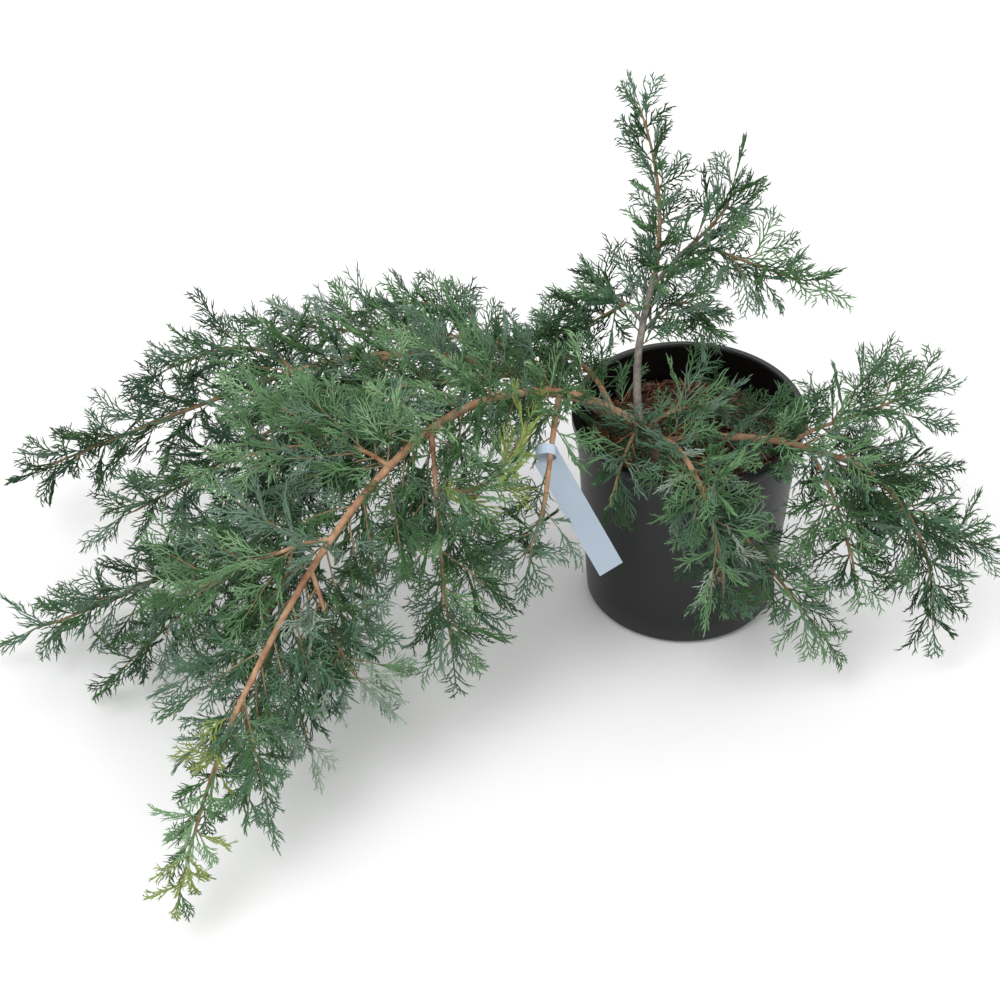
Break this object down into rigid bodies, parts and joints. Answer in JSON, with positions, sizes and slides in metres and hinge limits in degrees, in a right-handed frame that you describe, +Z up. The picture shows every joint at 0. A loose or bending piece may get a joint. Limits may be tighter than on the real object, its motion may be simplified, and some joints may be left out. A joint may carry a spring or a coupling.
{
  "type": "potted blue pfitzer juniper",
  "caption": "Low spreading conifer shrub with one upright leader and arching boughs of fine needled sprays, growing in a round black nursery pot.",
  "frame": {"origin": "middle of the pot's flat underside", "axes": "+Z up, +X towards the short side of the crown, -X along the long side, -Y towards the front"},
  "size_m": [1.0106, 0.6635, 0.5613],
  "materials": {
    "pot": "black moulded plastic, slightly glossy, dusty towards the foot",
    "soil": "red-brown bark and coir fibre, matt and damp in the hollows",
    "label": "pale plastic strip, blank",
    "bark": "thin flaking bark, pinkish tan on the boughs and grey-brown on the leader",
    "foliage": "matt blue-green scale needles in cord-like sprays, paler on young shoots"
  },
  "bodies": {
    "root": {"pot": "pot", "soil": "soil", "label": "label", "trunk": "bark", "back_left_bough": "bark", "fan_bough": "bark", "front_bough": "bark", "front_left_bough": "bark", "inner_bough": "bark", "leader_bough": "bark", "leader_left_bough": "bark", "leader_low_bough": "bark", "leader_right_bough": "bark", "left_bough": "bark", "left_middle_bough": "bark", "low_front_bough": "bark", "low_left_bough": "bark", "near_back_bough": "bark", "near_left_bough": "bark", "outer_side_bough": "bark", "right_bough": "bark", "right_low_bough": "bark", "right_upper_bough": "bark", "upper_middle_bough": "bark", "back_left_outer": "foliage", "back_left_upper": "foliage", "fan_spray": "foliage", "front_left_hanging": "foliage", "front_left_tip": "foliage", "front_low_right": "foliage", "front_rim_spray": "foliage", "front_spray": "foliage", "inner_lower": "foliage", "inner_upper": "foliage", "left_back": "foliage", "left_middle_spray": "foliage", "left_shoot": "foliage", "left_tip": "foliage", "low_front_hanging": "foliage", "low_front_inner": "foliage", "low_left_front": "foliage", "low_left_outer": "foliage", "low_right_shoot": "foliage", "near_back_outer": "foliage", "near_back_upper": "foliage", "near_left_spray": "foliage", "outer_side_lower": "foliage", "outer_side_upper": "foliage", "over_soil_right": "foliage", "right_low_spray": "foliage", "right_outer": "foliage", "right_shoot_outer": "foliage", "right_shoot_upper": "foliage", "right_tip": "foliage", "right_upper_spray": "foliage", "rim_left": "foliage", "top_shoot": "foliage", "upper_middle_spray": "foliage", "young_shoot": "foliage"}
  },
  "joints": []
}
